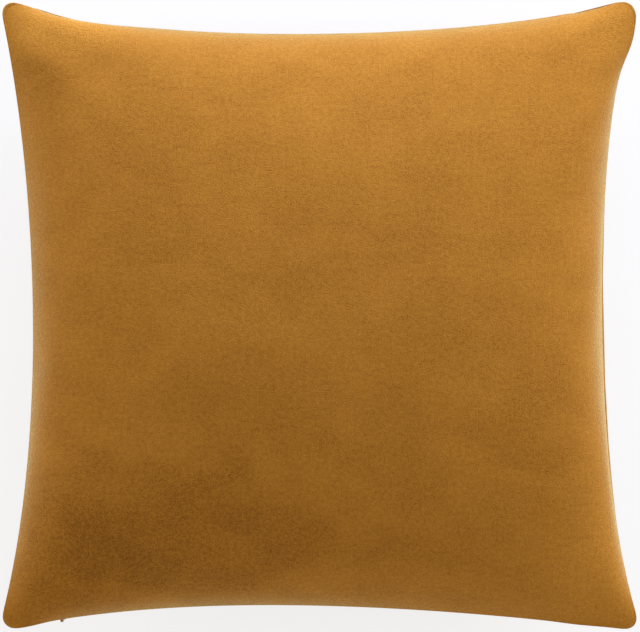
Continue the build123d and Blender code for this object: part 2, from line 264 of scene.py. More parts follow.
def fill_cover(frames):
    """The filled cover's two faces as grids: cut flat, drawn in at the seam and blown up."""
    n = SIM
    ring = rolled_ring(-FOLD_ROOM, n)
    where = dict(zip(ring_index(n), ring))
    number = {}
    points, drawn_in, faces, pinned = [], [], [], []
    t = np.linspace(-1, 1, n + 1)
    rise = 0.004 * (1 - t**2)[:, None] * (1 - t**2)[None, :]
    for side in (1, -1):
        for i in range(n + 1):
            for j in range(n + 1):
                edge = (i, j) in where
                if edge and side == -1:
                    number[side, i, j] = number[1, i, j]
                    continue
                number[side, i, j] = len(points)
                flat = (t[i] * CUT / 2, t[j] * CUT / 2, side * rise[i, j])
                points.append(flat)
                drawn_in.append(tuple(where[i, j]) if edge else flat)
                if edge:
                    pinned.append(number[side, i, j])
        for i in range(n):
            for j in range(n):
                quad = [number[side, i + a, j + b] for a, b in ((0, 0), (1, 0), (1, 1), (0, 1))]
                faces.append(quad if side == 1 else quad[::-1])
    bag = link("bag", points, faces)
    bag.shape_key_add(name="Basis")
    sewn = bag.shape_key_add(name="sewn")
    for k, p in enumerate(drawn_in):
        sewn.data[k].co = p
    sewn.value = 0
    sewn.keyframe_insert("value", frame=1)
    sewn.value = 1
    sewn.keyframe_insert("value", frame=SEWN_BY)
    group = bag.vertex_groups.new(name="seam")
    group.add(pinned, 1.0, "REPLACE")
    cloth = bag.modifiers.new("Cloth", "CLOTH")
    settings = cloth.settings
    settings.quality = 6
    settings.mass = 0.3
    settings.air_damping = 2
    settings.tension_stiffness = 80
    settings.compression_stiffness = 1
    settings.shear_stiffness = 1
    settings.bending_stiffness = 0.1
    settings.use_pressure = True
    settings.uniform_pressure_force = 10
    settings.vertex_group_mass = "seam"
    settings.pin_stiffness = 1.0
    settings.effector_weights.gravity = 0
    cloth.collision_settings.use_collision = False
    cloth.collision_settings.use_self_collision = False
    cloth.point_cache.frame_start = 1
    cloth.point_cache.frame_end = frames
    for f in range(1, frames + 1):
        scene.frame_set(f)
    evaluated = bag.evaluated_get(bpy.context.evaluated_depsgraph_get())
    co = np.zeros(len(evaluated.data.vertices) * 3)
    evaluated.data.vertices.foreach_get("co", co)
    co = co.reshape(-1, 3)
    grids = {}
    for side in (1, -1):
        grid = np.zeros((n + 1, n + 1, 3))
        for i in range(n + 1):
            for j in range(n + 1):
                grid[i, j] = co[number[side, i, j]]
        grids[side] = grid
    scene.frame_set(1)
    bpy.data.objects.remove(bag)
    return grids


def resample(grid, m):
    """A grid of points with m cells each way, by cubic interpolation."""
    for axis in (0, 1):
        g = np.moveaxis(grid, axis, 0)
        n = len(g) - 1
        padded = np.concatenate([2 * g[:1] - g[1:2], g, 2 * g[-1:] - g[-2:-1]])
        x = np.arange(m + 1) * n / m
        k = np.minimum(x.astype(int), n - 1)
        f = (x - k)[:, None, None]
        p0, p1, p2, p3 = (padded[k + s] for s in range(4))
        g = p1 + 0.5 * f * (
            p2 - p0 + f * (2 * p0 - 5 * p1 + 4 * p2 - p3 + f * (3 * (p1 - p2) + p3 - p0))
        )
        grid = np.moveaxis(g, 0, axis)
    return grid


def smooth_grid(grid, rounds):
    """Evens out the folds that the solver's coarse cells leave; the seam stays."""
    for _ in range(rounds):
        middle = grid[1:-1, 1:-1]
        around = (grid[:-2, 1:-1] + grid[2:, 1:-1] + grid[1:-1, :-2] + grid[1:-1, 2:]) / 4
        grid = grid.copy()
        grid[1:-1, 1:-1] = middle + 0.5 * (around - middle)
    return grid


def grid_normals(grid):
    """Unit normals of a grid of points, upward on the front."""
    u = np.gradient(grid, axis=0)
    v = np.gradient(grid, axis=1)
    normal = np.cross(u, v)
    return normal / np.maximum(np.linalg.norm(normal, axis=2, keepdims=True), 1e-12)


def wander(x, y, scale, seed):
    """Soft noise from about -1 to 1 with features of the given size in metres."""
    return noise.noise(Vector((x / scale, y / scale, seed * 7.31)))


def face_grid(raw, side):
    """One filled face: evened, to the CAD's crown, with the filling's slight lumps."""
    grid = resample(smooth_grid(raw, 3), MESH)
    grid[..., 2] *= CROWN / np.abs(grid[..., 2]).max()
    normal = grid_normals(grid) * side
    t = np.linspace(-1, 1, MESH + 1)
    inner = smoothstep((1 - np.abs(t)) * 6)
    weight = inner[:, None] * inner[None, :]
    for i in range(MESH + 1):
        for j in range(MESH + 1):
            x, y = t[i] * CUT / 2, t[j] * CUT / 2
            lump = 0.0011 * wander(x, y, 0.085, 1 + side) + 0.0005 * wander(x, y, 0.04, 4 + side)
            grid[i, j] += normal[i, j] * lump * weight[i, j]
    if side == -1:
        for (i, j), share in zip(ring_index(MESH), rolled(MESH)[:, 0]):
            out = np.array((((i == MESH) - (i == 0)), ((j == MESH) - (j == 0)), 0.0))
            for step, amount in ((1, 1.0), (2, 0.5), (3, 0.15)):
                a = i + step * ((i == 0) - (i == MESH))
                b = j + step * ((j == 0) - (j == MESH))
                grid[a, b] += out * ROLL_IN * amount * share
        up, floor, soft = -grid[..., 2], -FLOOR, 0.004
        pressed = (up + floor - np.sqrt((up - floor) ** 2 + soft**2)) / 2
        grid[..., 2] = -np.where(up > 0.5 * floor, pressed, up)
    return grid


# ------------------------------------------------------------------ sewing the cover's panels
def zip_depth(points):
    """How far inward of the zip line each point lies, and its share of the zip's profile."""
    away = points[:, :2] - ZIP_CENTER
    radius = np.linalg.norm(away, axis=1)
    angle = np.arctan2(away[:, 0], away[:, 1])
    past = np.maximum(ZIP_START - angle, angle - ZIP_END) * ZIP_RADIUS
    share = 1 - smoothstep((past - 0.0005) / 0.010)
    share[(points[:, 1] > 0) | (np.abs(radius - ZIP_RADIUS) > 0.02)] = 0
    return radius - ZIP_RADIUS, share


def sewn_panel(name, grid, side, inset, allowance, cloth, fold, with_zip):
    """One panel as the sheet it is: its face, the fold at the seam, and its allowance."""
    n = len(grid) - 1
    if with_zip:
        tip, roll = rolled_ring(inset - FOLD_ROOM, n), rolled(n)[:, 0]
    else:
        tip, roll = np.pad(seam_ring(inset - FOLD_ROOM, n), ((0, 0), (0, 1))), np.zeros(4 * n)
    seam = seam_ring(inset, n)
    inward = (seam_ring(inset + allowance, n) - seam) / allowance
    depth, zipped = zip_depth(seam)
    if not with_zip:
        zipped = zipped * 0
    places = ring_index(n)
    points = [grid[i, j] for i in range(n + 1) for j in range(n + 1)]
    cut = [((i / n - 0.5) * CUT, (j / n - 0.5) * CUT) for i in range(n + 1) for j in range(n + 1)]
    at = {(i, j): i * (n + 1) + j for i in range(n + 1) for j in range(n + 1)}
    quads = []
    for i in range(n):
        for j in range(n):
            quads.append([at[i, j], at[i + 1, j], at[i + 1, j + 1], at[i, j + 1]])
    rows = [[] for _ in range(8)]
    for k, (i, j) in enumerate(places):
        first = grid[min(max(i, 1), n - 1), min(max(j, 1), n - 1)]
        low = 0.00005 + LIP_HALF_GAP * zipped[k]
        corner = tip[k] + (0, 0, side * low)
        flat = np.array((*inward[k], 0.0)) / np.linalg.norm(inward[k])
        slant = (first - corner) / np.linalg.norm(first - corner)
        half = math.acos(max(-1, min(1, float(slant @ flat)))) / 2
        radius = min(fold, FOLD_ROOM * 1.4 / (1 / math.sin(half) - 1))
        run = radius / math.tan(half)
        bisector = (slant + flat) / np.linalg.norm(slant + flat)
        centre = corner + bisector * radius / math.sin(half)
        start, end = corner + slant * run, corner + flat * run
        pucker = 0.00022 * wander(k * CUT / n, side * 0.3, 0.011, 9) * (1 - zipped[k])
        bulge = -flat * ROLL_IN * 1.1 * roll[k] * (side == -1)
        points[at[i, j]] = corner + slant * (run + 0.0014) + bisector * pucker + bulge
        arc = []
        for f in (0.25, 0.5, 0.75):
            v = (start - centre) * (1 - f) + (end - centre) * f
            arc.append(centre + v / np.linalg.norm(v) * radius)
        high = low + (CHANNEL - low) * zipped[k]
        turn = max(LIP - depth[k] * zipped[k], run + 0.0002)
        line = [start, *arc, end]
        raw_edge = allowance - depth[k] * zipped[k]
        for reach, z in ((turn, low), (turn + 0.0003, high), (raw_edge, high)):
            line.append(np.array((*(seam[k] + inward[k] * reach), side * z)))
        for row, p in zip(rows, line):
            row.append(p)
    previous = [at[i, j] for i, j in places]
    u0 = [cut[k] for k in previous]
    total = 4 * n
    for row, out in zip(rows, (0.001, 0.0015, 0.002, 0.0025, 0.003, 0.004, 0.005, allowance)):
        current = list(range(len(points), len(points) + total))
        points += row
        cut += [(x * (1 + 2 * out / CUT), y * (1 + 2 * out / CUT)) for x, y in u0]
        for k in range(total):
            m = (k + 1) % total
            quads.append([previous[k], current[k], current[m], previous[m]])
        previous = current
    if side == -1:
        quads = [q[::-1] for q in quads]
    piece = link(name, np.array(points) + (0, 0, SEAM_Z), quads)
    layer = piece.data.uv_layers.new(name="cut")
    for loop in piece.data.loops:
        x, y = cut[loop.vertex_index]
        layer.data[loop.index].uv = (x / CUT + 0.5, y / CUT + 0.5)
    subdivide = piece.modifiers.new("Subdivision", "SUBSURF")
    subdivide.levels = subdivide.render_levels = 1
    thicken = piece.modifiers.new("Thickness", "SOLIDIFY")
    thicken.thickness = cloth
    thicken.offset = -1
    apply_modifiers(piece)
    return piece


filled = fill_cover(45)
face = {side: face_grid(filled[side], side) for side in (1, -1)}
front = sewn_panel("velvet_front_panel", face[1], 1, 0, ALLOWANCE, CLOTH, FOLD, True)
back = sewn_panel("velvet_back_panel", face[-1], -1, 0, ALLOWANCE, CLOTH, FOLD, True)


# ------------------------------------------------------------------ the insert
def grid_tree(grid):
    """The grid as a surface that a ray can be cast at."""
    m = grid.shape[1]
    points = [Vector(p) for p in grid.reshape(-1, 3)]
    quads = [
        (i * m + j, (i + 1) * m + j, (i + 1) * m + j + 1, i * m + j + 1)
        for i in range(len(grid) - 1)
        for j in range(m - 1)
    ]
    return BVHTree.FromPolygons(points, quads)


cover_surface = {side: grid_tree(face[side]) for side in (1, -1)}


def inner_grid(side, n, inset, clear, rise, ruffle, lump, seed):
    """A face that lies under the cover's, from a seam of its own further in."""
    base = patch(seam_ring(inset, n), n)
    grid = np.zeros((n + 1, n + 1, 3))
    t = 1 - np.abs(np.linspace(-1, 1, n + 1))
    span = CUT / 2
    for i in range(n + 1):
        for j in range(n + 1):
            x, y = base[i, j]
            hit = cover_surface[side].ray_cast(Vector((x, y, side)), Vector((0, 0, -side)))[0]
            edge = min(t[i], t[j]) * span
            reach = min(edge / rise, 1.0)
            share = math.sqrt(1 - (1 - reach) ** 2)
            along = (i - j) / n * CUT if t[i] > t[j] else (i + j) / n * CUT
            gather = ruffle * wander(along, edge * 0.25, 0.013, seed) * math.exp(-edge / 0.02)
            height = max(abs(hit.z) - clear, 0.004) * share
            height += (gather * min(edge / 0.004, 1) + lump * wander(x, y, 0.03, seed + 2)) * share
            grid[i, j] = (x, y, side * max(height, 0))
    return grid


INSERT_INSET = 0.018
INSERT_ALLOWANCE = 0.008
TICKING = 0.0005       # the ticking's thickness
FILL_INSET = INSERT_INSET + INSERT_ALLOWANCE + 0.001
insert_panels = []
for side, name in ((1, "ticking_front_panel"), (-1, "ticking_back_panel")):
    grid = inner_grid(side, 60, INSERT_INSET - FOLD_ROOM, 0.0030, 0.040, 0.0016, 0.0003, 11 + side)
    made = sewn_panel(name, grid, side, INSERT_INSET, INSERT_ALLOWANCE, TICKING, 0.0006, False)
    insert_panels.append(made)


def closed_pair(name, top, bottom, levels):
    """Two grids that share their rim, as one closed form."""
    n = len(top) - 1
    points, quads, number = [], [], {}
    for side, grid in ((1, top), (-1, bottom)):
        for i in range(n + 1):
            for j in range(n + 1):
                if side == -1 and (i in (0, n) or j in (0, n)):
                    number[side, i, j] = number[1, i, j]
                    continue
                number[side, i, j] = len(points)
                points.append(grid[i, j] + np.array((0, 0, SEAM_Z)))
        for i in range(n):
            for j in range(n):
                quad = [number[side, i + a, j + b] for a, b in ((0, 0), (1, 0), (1, 1), (0, 1))]
                quads.append(quad if side == 1 else quad[::-1])
    piece = link(name, points, quads)
    if levels:
        subdivide = piece.modifiers.new("Subdivision", "SUBSURF")
        subdivide.levels = subdivide.render_levels = levels
        apply_modifiers(piece)
    return piece


fill_faces = [
    inner_grid(side, 64, FILL_INSET, 0.0056, 0.030, 0.0, 0.0011, 17 + side)
    for side in (1, -1)
]
fibre = closed_pair("fibre_filling", *fill_faces, 1)


# ------------------------------------------------------------------ threads, zip and labels
def tubes(name, paths, width, height=None, around=5):
    """Round or flattened threads along paths, one mesh. Height is across the path's own plane."""
    height = height or width
    points, quads = [], []
    for path in paths:
        path = np.asarray(path, float)
        ahead = np.gradient(path, axis=0)
        ahead /= np.linalg.norm(ahead, axis=1, keepdims=True)
        up = np.array((0, 0, 1.0))
        side = np.cross(ahead, up)
        weak = np.linalg.norm(side, axis=1) < 0.2
        side[weak] = np.cross(ahead[weak], np.array((0, 1.0, 0.0)))
        side /= np.linalg.norm(side, axis=1, keepdims=True)
        for k in range(1, len(side)):
            turned = side[k - 1] - ahead[k] * (side[k - 1] @ ahead[k])
            if np.linalg.norm(turned) > 1e-6:
                side[k] = turned / np.linalg.norm(turned)
        lift = np.cross(side, ahead)
        start = len(points)
        m = len(path)
        for k in range(m):
            taper = 0.55 if k in (0, m - 1) else 1.0
            for q in range(around):
                angle = 2 * math.pi * (q + 0.5) / around
                points.append(
                    path[k]
                    + side[k] * math.cos(angle) * width / 2 * taper
                    + lift[k] * math.sin(angle) * height / 2 * taper
                )
        for k in range(m - 1):
            for q in range(around):
                r = (q + 1) % around
                quads.append(
                    [start + k * around + q, start + k * around + r,
                     start + (k + 1) * around + r, start + (k + 1) * around + q]
                )
        quads.append([start + q for q in range(around)][::-1])
        quads.append([start + (m - 1) * around + q for q in range(around)])
    return link(name, points, quads)


def spaced(line, pitch):
    """Places along a closed line at one pitch, each with its direction."""
    loop = np.vstack([line, line[:1]])
    run = np.concatenate([[0], np.cumsum(np.linalg.norm(np.diff(loop, axis=0), axis=1))])
    count = int(run[-1] / pitch)
    at = (np.arange(count) + 0.5) * run[-1] / count
    place = np.column_stack([np.interp(at, run, loop[:, c]) for c in (0, 1)])
    ahead = np.column_stack([np.interp(at + 0.0005, run, loop[:, c]) for c in (0, 1)]) - place
    return place, ahead / np.linalg.norm(ahead, axis=1, keepdims=True)


def off_zip(place, spare):
    """Which places lie clear of the zip opening."""
    away = place - ZIP_CENTER
    angle = np.arctan2(away[:, 0], away[:, 1])
    beside = (angle > ZIP_START - spare / ZIP_RADIUS) & (angle < ZIP_END + spare / ZIP_RADIUS)
    return ~(beside & (place[:, 1] < -0.2))


def stitch(place, ahead, z, length, dip):
    """One lockstitch: it comes up out of the cloth, lies along it, and goes down again."""
    ends = [(-0.5, -dip), (-0.42, 0), (0, 0.00004), (0.42, 0), (0.5, -dip)]
    return [(*(place + ahead * length * f), z + math.copysign(1, z) * d) for f, d in ends]


def seam_stitches(name, inset, z_levels, pitch, width, height, skip_zip):
    """A row of lockstitches round the seam, at each of the heights."""
    line = seam_ring(inset, 300)
    place, ahead = spaced(line, pitch)
    keep = off_zip(place, 0.011) if skip_zip else np.ones(len(place), bool)
    paths = []
    for z in z_levels:
        for p, a in zip(place[keep], ahead[keep]):
            path = np.array(stitch(p, a, z, pitch * 0.9, height))
            paths.append(path + (0, 0, SEAM_Z))
    return tubes(name, paths, width, height, around=4)


def zip_place(angle, depth, z):
    """A point beside the zip: its angle along the arc, how far inward, and its height."""
    radius = ZIP_RADIUS + depth
    return (
        ZIP_CENTER[0] + radius * math.sin(angle),
        ZIP_CENTER[1] + radius * math.cos(angle),
        SEAM_Z + z,
    )


MM = 1 / ZIP_RADIUS / 1000     # one millimetre along the zip, as an angle
STITCH = 0.0028                # the cover's stitch length
THREAD = (0.0004, 0.00028)     # its thread as it lies: width and height
OVERLOCK = 0.0022              # the overlocking's pitch
cloth_top = CLOTH + 0.0001
sewing = {
    "cover_needle_stitches": ("cover_needle_thread", [cloth_top + 0.00014]),
    "cover_bobbin_stitches": ("cover_bobbin_thread", [-cloth_top - 0.00014]),
}
thread_pieces = []
for name, (cad, levels) in sewing.items():
    sewn = seam_stitches(name, 0.003, levels, STITCH, *THREAD, True)
    thread_pieces.append((sewn, cad, "cover_thread"))
levels = [TICKING + 0.0002, -TICKING - 0.0002]
inset = INSERT_INSET + 0.0022
sewn = seam_stitches("insert_seam_stitches", inset, levels, 0.0032, 0.0003, 0.0002, False)
thread_pieces.append((sewn, "insert_seam_thread", "insert_thread"))

# Overlocking: a thread wound round the raw edges, both allowances together or one facing.
edge_paths = []
place, ahead = spaced(seam_ring(ALLOWANCE, 300), OVERLOCK)
keep = off_zip(place, 0.012)
loops, current = [], []
for k in range(len(place)):
    if keep[k]:
        current.append(k)
    elif current:
        loops.append(current)
        current = []
if current:
    loops.append(current)
for run in loops:
    path = []
    for k in run:
        out = np.array((ahead[k][1], -ahead[k][0]))
        wrap = CLOTH + 0.0003
        turn = [(0, -0.0002, -wrap * 0.6), (0.1, 0.0035, -wrap)]
        turn += [(0.5, -0.0002, 0), (0.6, 0.0035, wrap)]
        for f, depth, z in turn:
            spot = place[k] + ahead[k] * OVERLOCK * f + out * depth
            path.append((*spot, SEAM_Z + z))
    edge_paths.append(path)
turn = ((0, 0.0133, 0.0030), (0.1, 0.0112, 0.00283), (0.5, 0.0133, 0.0036), (0.6, 0.0112, 0.0042))
pitch = OVERLOCK * 1000 * MM
for side in (1, -1):
    path = []
    for k in range(int((ZIP_END - ZIP_START) / pitch)):
        angle = ZIP_START + (k + 0.5) * pitch
        for f, depth, z in turn:
            path.append(zip_place(angle + pitch * f, depth, side * z))
    edge_paths.append(path)
overlocked = tubes("cover_overlock_thread", edge_paths, 0.00026, around=4)
thread_pieces.append((overlocked, "cover_overlock", "cover_thread"))

# Stitches that hold the tapes, bar tacks at both ends, and the insert's closing stitches.
for side, name, cad in (
    (1, "zip_stitching_front", "zip_stitches_front"),
    (-1, "zip_stitching_back", "zip_stitches_back"),
):
    paths = []
    top = side * (CHANNEL + CLOTH + 0.0002)
    pitch = STITCH * 1000 * MM
    for k in range(int((ZIP_END - ZIP_START) / pitch)):
        angle = ZIP_START + (k + 0.5) * pitch
        paths.append(
            [zip_place(angle + f * 2.6 * MM, 0.0101, top - side * d)
             for f, d in ((-0.5, 0.00025), (-0.4, 0), (0, -0.00003), (0.4, 0), (0.5, 0.00025))]
        )
    thread_pieces.append((tubes(name, paths, *THREAD, around=4), cad, "cover_thread"))
paths = []
for side in (1, -1):
    for end, out in ((ZIP_START, -1), (ZIP_END, 1)):
        for k in range(9):
            angle = end + out * (1.0 + 0.17 * k) * MM
            facing = CHANNEL * (1 - smoothstep((1.0 + 0.17 * k - 0.5) / 10)) + CLOTH
            z = side * (facing + 0.00015)
            paths.append([zip_place(angle, d, z) for d in (0.0062, 0.0072, 0.0082, 0.0094)])
tacks = tubes("zip_bar_tacks", paths, 0.00028, around=4)
thread_pieces.append((tacks, "zip_end_tacks", "cover_thread"))
paths = []
line = bezier(seam_sides(INSERT_INSET - FOLD_ROOM)[0], np.linspace(0.37, 0.63, 40))
for a, b in zip(line[:-1], line[1:]):
    half = (a + b) / 2
    paths.append(
        [(*(a + (0, 0.0012)), SEAM_Z + 0.0008), (*(half + (0, -0.0002)), SEAM_Z + 0.0004),
         (*(half + (0, -0.0004)), SEAM_Z - 0.0002), (*(b + (0, 0.0012)), SEAM_Z - 0.0008)]
    )
closing = tubes("insert_closing_stitches", paths, 0.00035, around=5)
thread_pieces.append((closing, "insert_closing_stitch", "insert_thread"))

# The coil rows: one loop of filament for each tooth, the two rows half a pitch apart.
COIL_FROM, COIL_TO = ZIP_START + 2.9 * MM, ZIP_END - 2.9 * MM
for side, name, cad in (
    (1, "zip_coil_row_front", "zip_coil_front"),
    (-1, "zip_coil_row_back", "zip_coil_back"),
):
    path = []
    pitch = 1.3 * MM
    turns = int((COIL_TO - COIL_FROM) / pitch) - 1
    steps = 10
    start = 0.5 if side == -1 else 0
    for k in range(turns * steps):
        f = k / steps
        w = 2 * math.pi * f
        c, q = math.cos(w), math.sin(w)
        squared = 1 / max(abs(c), abs(q)) ** 0.45
        depth = 0.0044 + 0.00062 * c * squared
        z = 0.00060 + 0.00072 * q * squared
        lean = 0.18 * math.sin(2 * w)
        path.append(zip_place(COIL_FROM + (f + lean + start) * pitch, depth, side * z))
    made = tubes(name, [path], 0.00042, 0.0003, around=5)
    thread_pieces.append((made, cad, "zip_teeth"))


def ribbon(name, rows):
    """A closed thin strip from rows of points that go round its section."""
    m, w = len(rows), len(rows[0])
    points = [p for row in rows for p in row]
    quads = [
        [k * w + q, k * w + (q + 1) % w, (k + 1) * w + (q + 1) % w, (k + 1) * w + q]
        for k in range(m - 1)
        for q in range(w)
    ]
    quads.append(list(range(w))[::-1])
    quads.append([(m - 1) * w + q for q in range(w)])
    return link(name, points, quads)


TAPE = 0.00045         # the zip tape's thickness
tapes = []
for side, name in ((1, "zip_woven_tape_front"), (-1, "zip_woven_tape_back")):
    rows = []
    top = CHANNEL - 0.00005
    under, over = top - TAPE, 0.0001 + TAPE
    outer = [(0.0053, 0.0001), (0.0070, 0.0001), (0.0083, 0.0011)]
    outer += [(d, under) for d in (0.0096, 0.0123, 0.0150)]
    inner = [(d, top) for d in (0.0150, 0.0123, 0.0094)]
    inner += [(0.0081, 0.0016), (0.0068, over), (0.0053, over)]
    steps = 210
    for k in range(steps + 1):
        angle = ZIP_START + (ZIP_END - ZIP_START) * k / steps
        rows.append([zip_place(angle, d, side * z) for d, z in outer + inner][::side])
    tapes.append(ribbon(name, rows))


def label(name, side_curve, place, width, line, thickness, seed):
    """A blank label tape held in a seam: line is its (depth, height) run, which curls a little."""
    at = bezier(side_curve, [place - 0.001, place, place + 0.001])
    along = (at[2] - at[0]) / np.linalg.norm(at[2] - at[0])
    inward = np.array((-along[1], along[0]))
    if inward @ at[1] > 0:
        inward = -inward
    fine = resample_line(np.array(line, float), 24)
    rows = []
    for k in range(17):
        f = k / 16 - 0.5
        front_side, back_side = [], []
        for q, (d, z) in enumerate(fine):
            slope = fine[min(q + 1, 23)] - fine[max(q - 1, 0)]
            off = np.array((-slope[1], slope[0])) / np.linalg.norm(slope)
            free = smoothstep((q - 8) / 15)
            curl = free * (0.0012 * (2 * f) ** 2 + 0.0008 * wander(f * width, d, 0.012, seed))
            spot = at[1] + along * f * width + inward * (d + off[0] * curl)
            height = z + off[1] * curl
            front_side.append((*spot, SEAM_Z + height))
            spot = spot + inward * off[0] * thickness
            back_side.append((*spot, SEAM_Z + height + off[1] * thickness))
        rows.append(front_side + back_side[::-1])
    return ribbon(name, rows)


def resample_line(points, count):
    """The line at even steps, with its bends softened."""
    run = np.concatenate([[0], np.cumsum(np.linalg.norm(np.diff(points, axis=0), axis=1))])
    at = np.linspace(0, run[-1], count)
    line = np.column_stack([np.interp(at, run, points[:, c]) for c in (0, 1)])
    for _ in range(4):
        line[1:-1] = (line[:-2] + 2 * line[1:-1] + line[2:]) / 4
    return line


sides_in_ring = seam_sides(0)
care_line = [(0.004, -0.00165), (0.0125, -0.00165), (0.0165, -0.0035), (0.034, -0.0196)]
care = label("care_label_tape", sides_in_ring[3], 0.75, 0.024, care_line, 0.0003, 31)
insert_line = [(0.0178, 0), (0.0155, -0.0002), (0.0152, -0.0012)]
insert_line += [(0.0182, -0.0048), (0.0355, -0.0235)]
blank = label("insert_label_tape", sides_in_ring[1], 0.7, 0.016, insert_line, 0.0003, 37)


# ------------------------------------------------------------------ materials
def material(name):
    made = bpy.data.materials.new(name)
    made.use_nodes = True
    tree = made.node_tree
    shader = next(x for x in tree.nodes if x.type == "BSDF_PRINCIPLED")
    return made, tree, shader


def node(tree, kind, inputs=None, **settings):
    made = tree.nodes.new(kind)
    for key, value in settings.items():
        setattr(made, key, value)
    for key, value in (inputs or {}).items():
        if isinstance(value, bpy.types.NodeSocket):
            tree.links.new(value, made.inputs[key])
        else:
            made.inputs[key].default_value = value
    return made


def ramp(tree, value, low, high, to_low, to_high):
    return node(
        tree,
        "ShaderNodeMapRange",
        {"Value": value, "From Min": low, "From Max": high, "To Min": to_low, "To Max": to_high},
        interpolation_type="SMOOTHSTEP",
    ).outputs[0]


def mix_colour(tree, factor, a, b, blend="MIX"):
    made = tree.nodes.new("ShaderNodeMix")
    made.data_type = "RGBA"
    made.blend_type = blend
    sockets = {x.identifier: x for x in made.inputs}
    for key, value in (("Factor_Float", factor), ("A_Color", a), ("B_Color", b)):
        if isinstance(value, bpy.types.NodeSocket):
            tree.links.new(value, sockets[key])
        else:
            sockets[key].default_value = value
    return next(x for x in made.outputs if x.identifier == "Result_Color")


def calculate(tree, operation, a, b):
    made = tree.nodes.new("ShaderNodeMath")
    made.operation = operation
    for k, value in enumerate((a, b)):
        if isinstance(value, bpy.types.NodeSocket):
            tree.links.new(value, made.inputs[k])
        else:
            made.inputs[k].default_value = value
    return made.outputs[0]


def times(tree, a, b):
    return calculate(tree, "MULTIPLY", a, b)


def plus(tree, a, b):
    return calculate(tree, "ADD", a, b)


def vectors(tree, operation, a, b, output=0):
    return node(tree, "ShaderNodeVectorMath", {0: a, 1: b}, operation=operation).outputs[output]


def speckle(tree, place, scale, detail, stretch=None, distortion=0.0):
    """Noise of one scale, finer across than along where it is stretched."""
    if stretch:
        place = node(tree, "ShaderNodeMapping", {"Vector": place, "Scale": stretch}).outputs[0]
    inputs = {"Vector": place, "Scale": scale, "Detail": detail, "Distortion": distortion}
    return node(tree, "ShaderNodeTexNoise", inputs).outputs["Fac"]


def roughen(tree, shader, height, strength, distance):
    inputs = {"Height": height, "Strength": strength, "Distance": distance}
    bump = node(tree, "ShaderNodeBump", inputs).outputs[0]
    tree.links.new(bump, shader.inputs["Normal"])


# Patches of painted light in the pile's colour, each shaped like pile stroked the other way:
# painted highlights at the corner tips and along the right edge, painted shade inside the top-left
# corner, over the lower left and
# the lower middle. Columns: middle and half-widths on the cut, and how much lighter or darker the
# colour is made there.
PAINTED_LIGHT_AND_SHADE_PATCHES = (
    (-0.120, -0.176, 0.140, 0.070, -0.19),
    (-0.190, -0.205, 0.060, 0.045, -0.08),
    (-0.218, 0.180, 0.026, 0.042, -0.10),
    (-0.212, 0.230, 0.060, 0.030, 0.34),
    (0.222, 0.230, 0.040, 0.028, 0.16),
    (0.235, -0.010, 0.030, 0.200, 0.08),
    (0.060, -0.190, 0.110, 0.060, -0.04),
    (0.222, -0.205, 0.050, 0.060, 0.16),
)


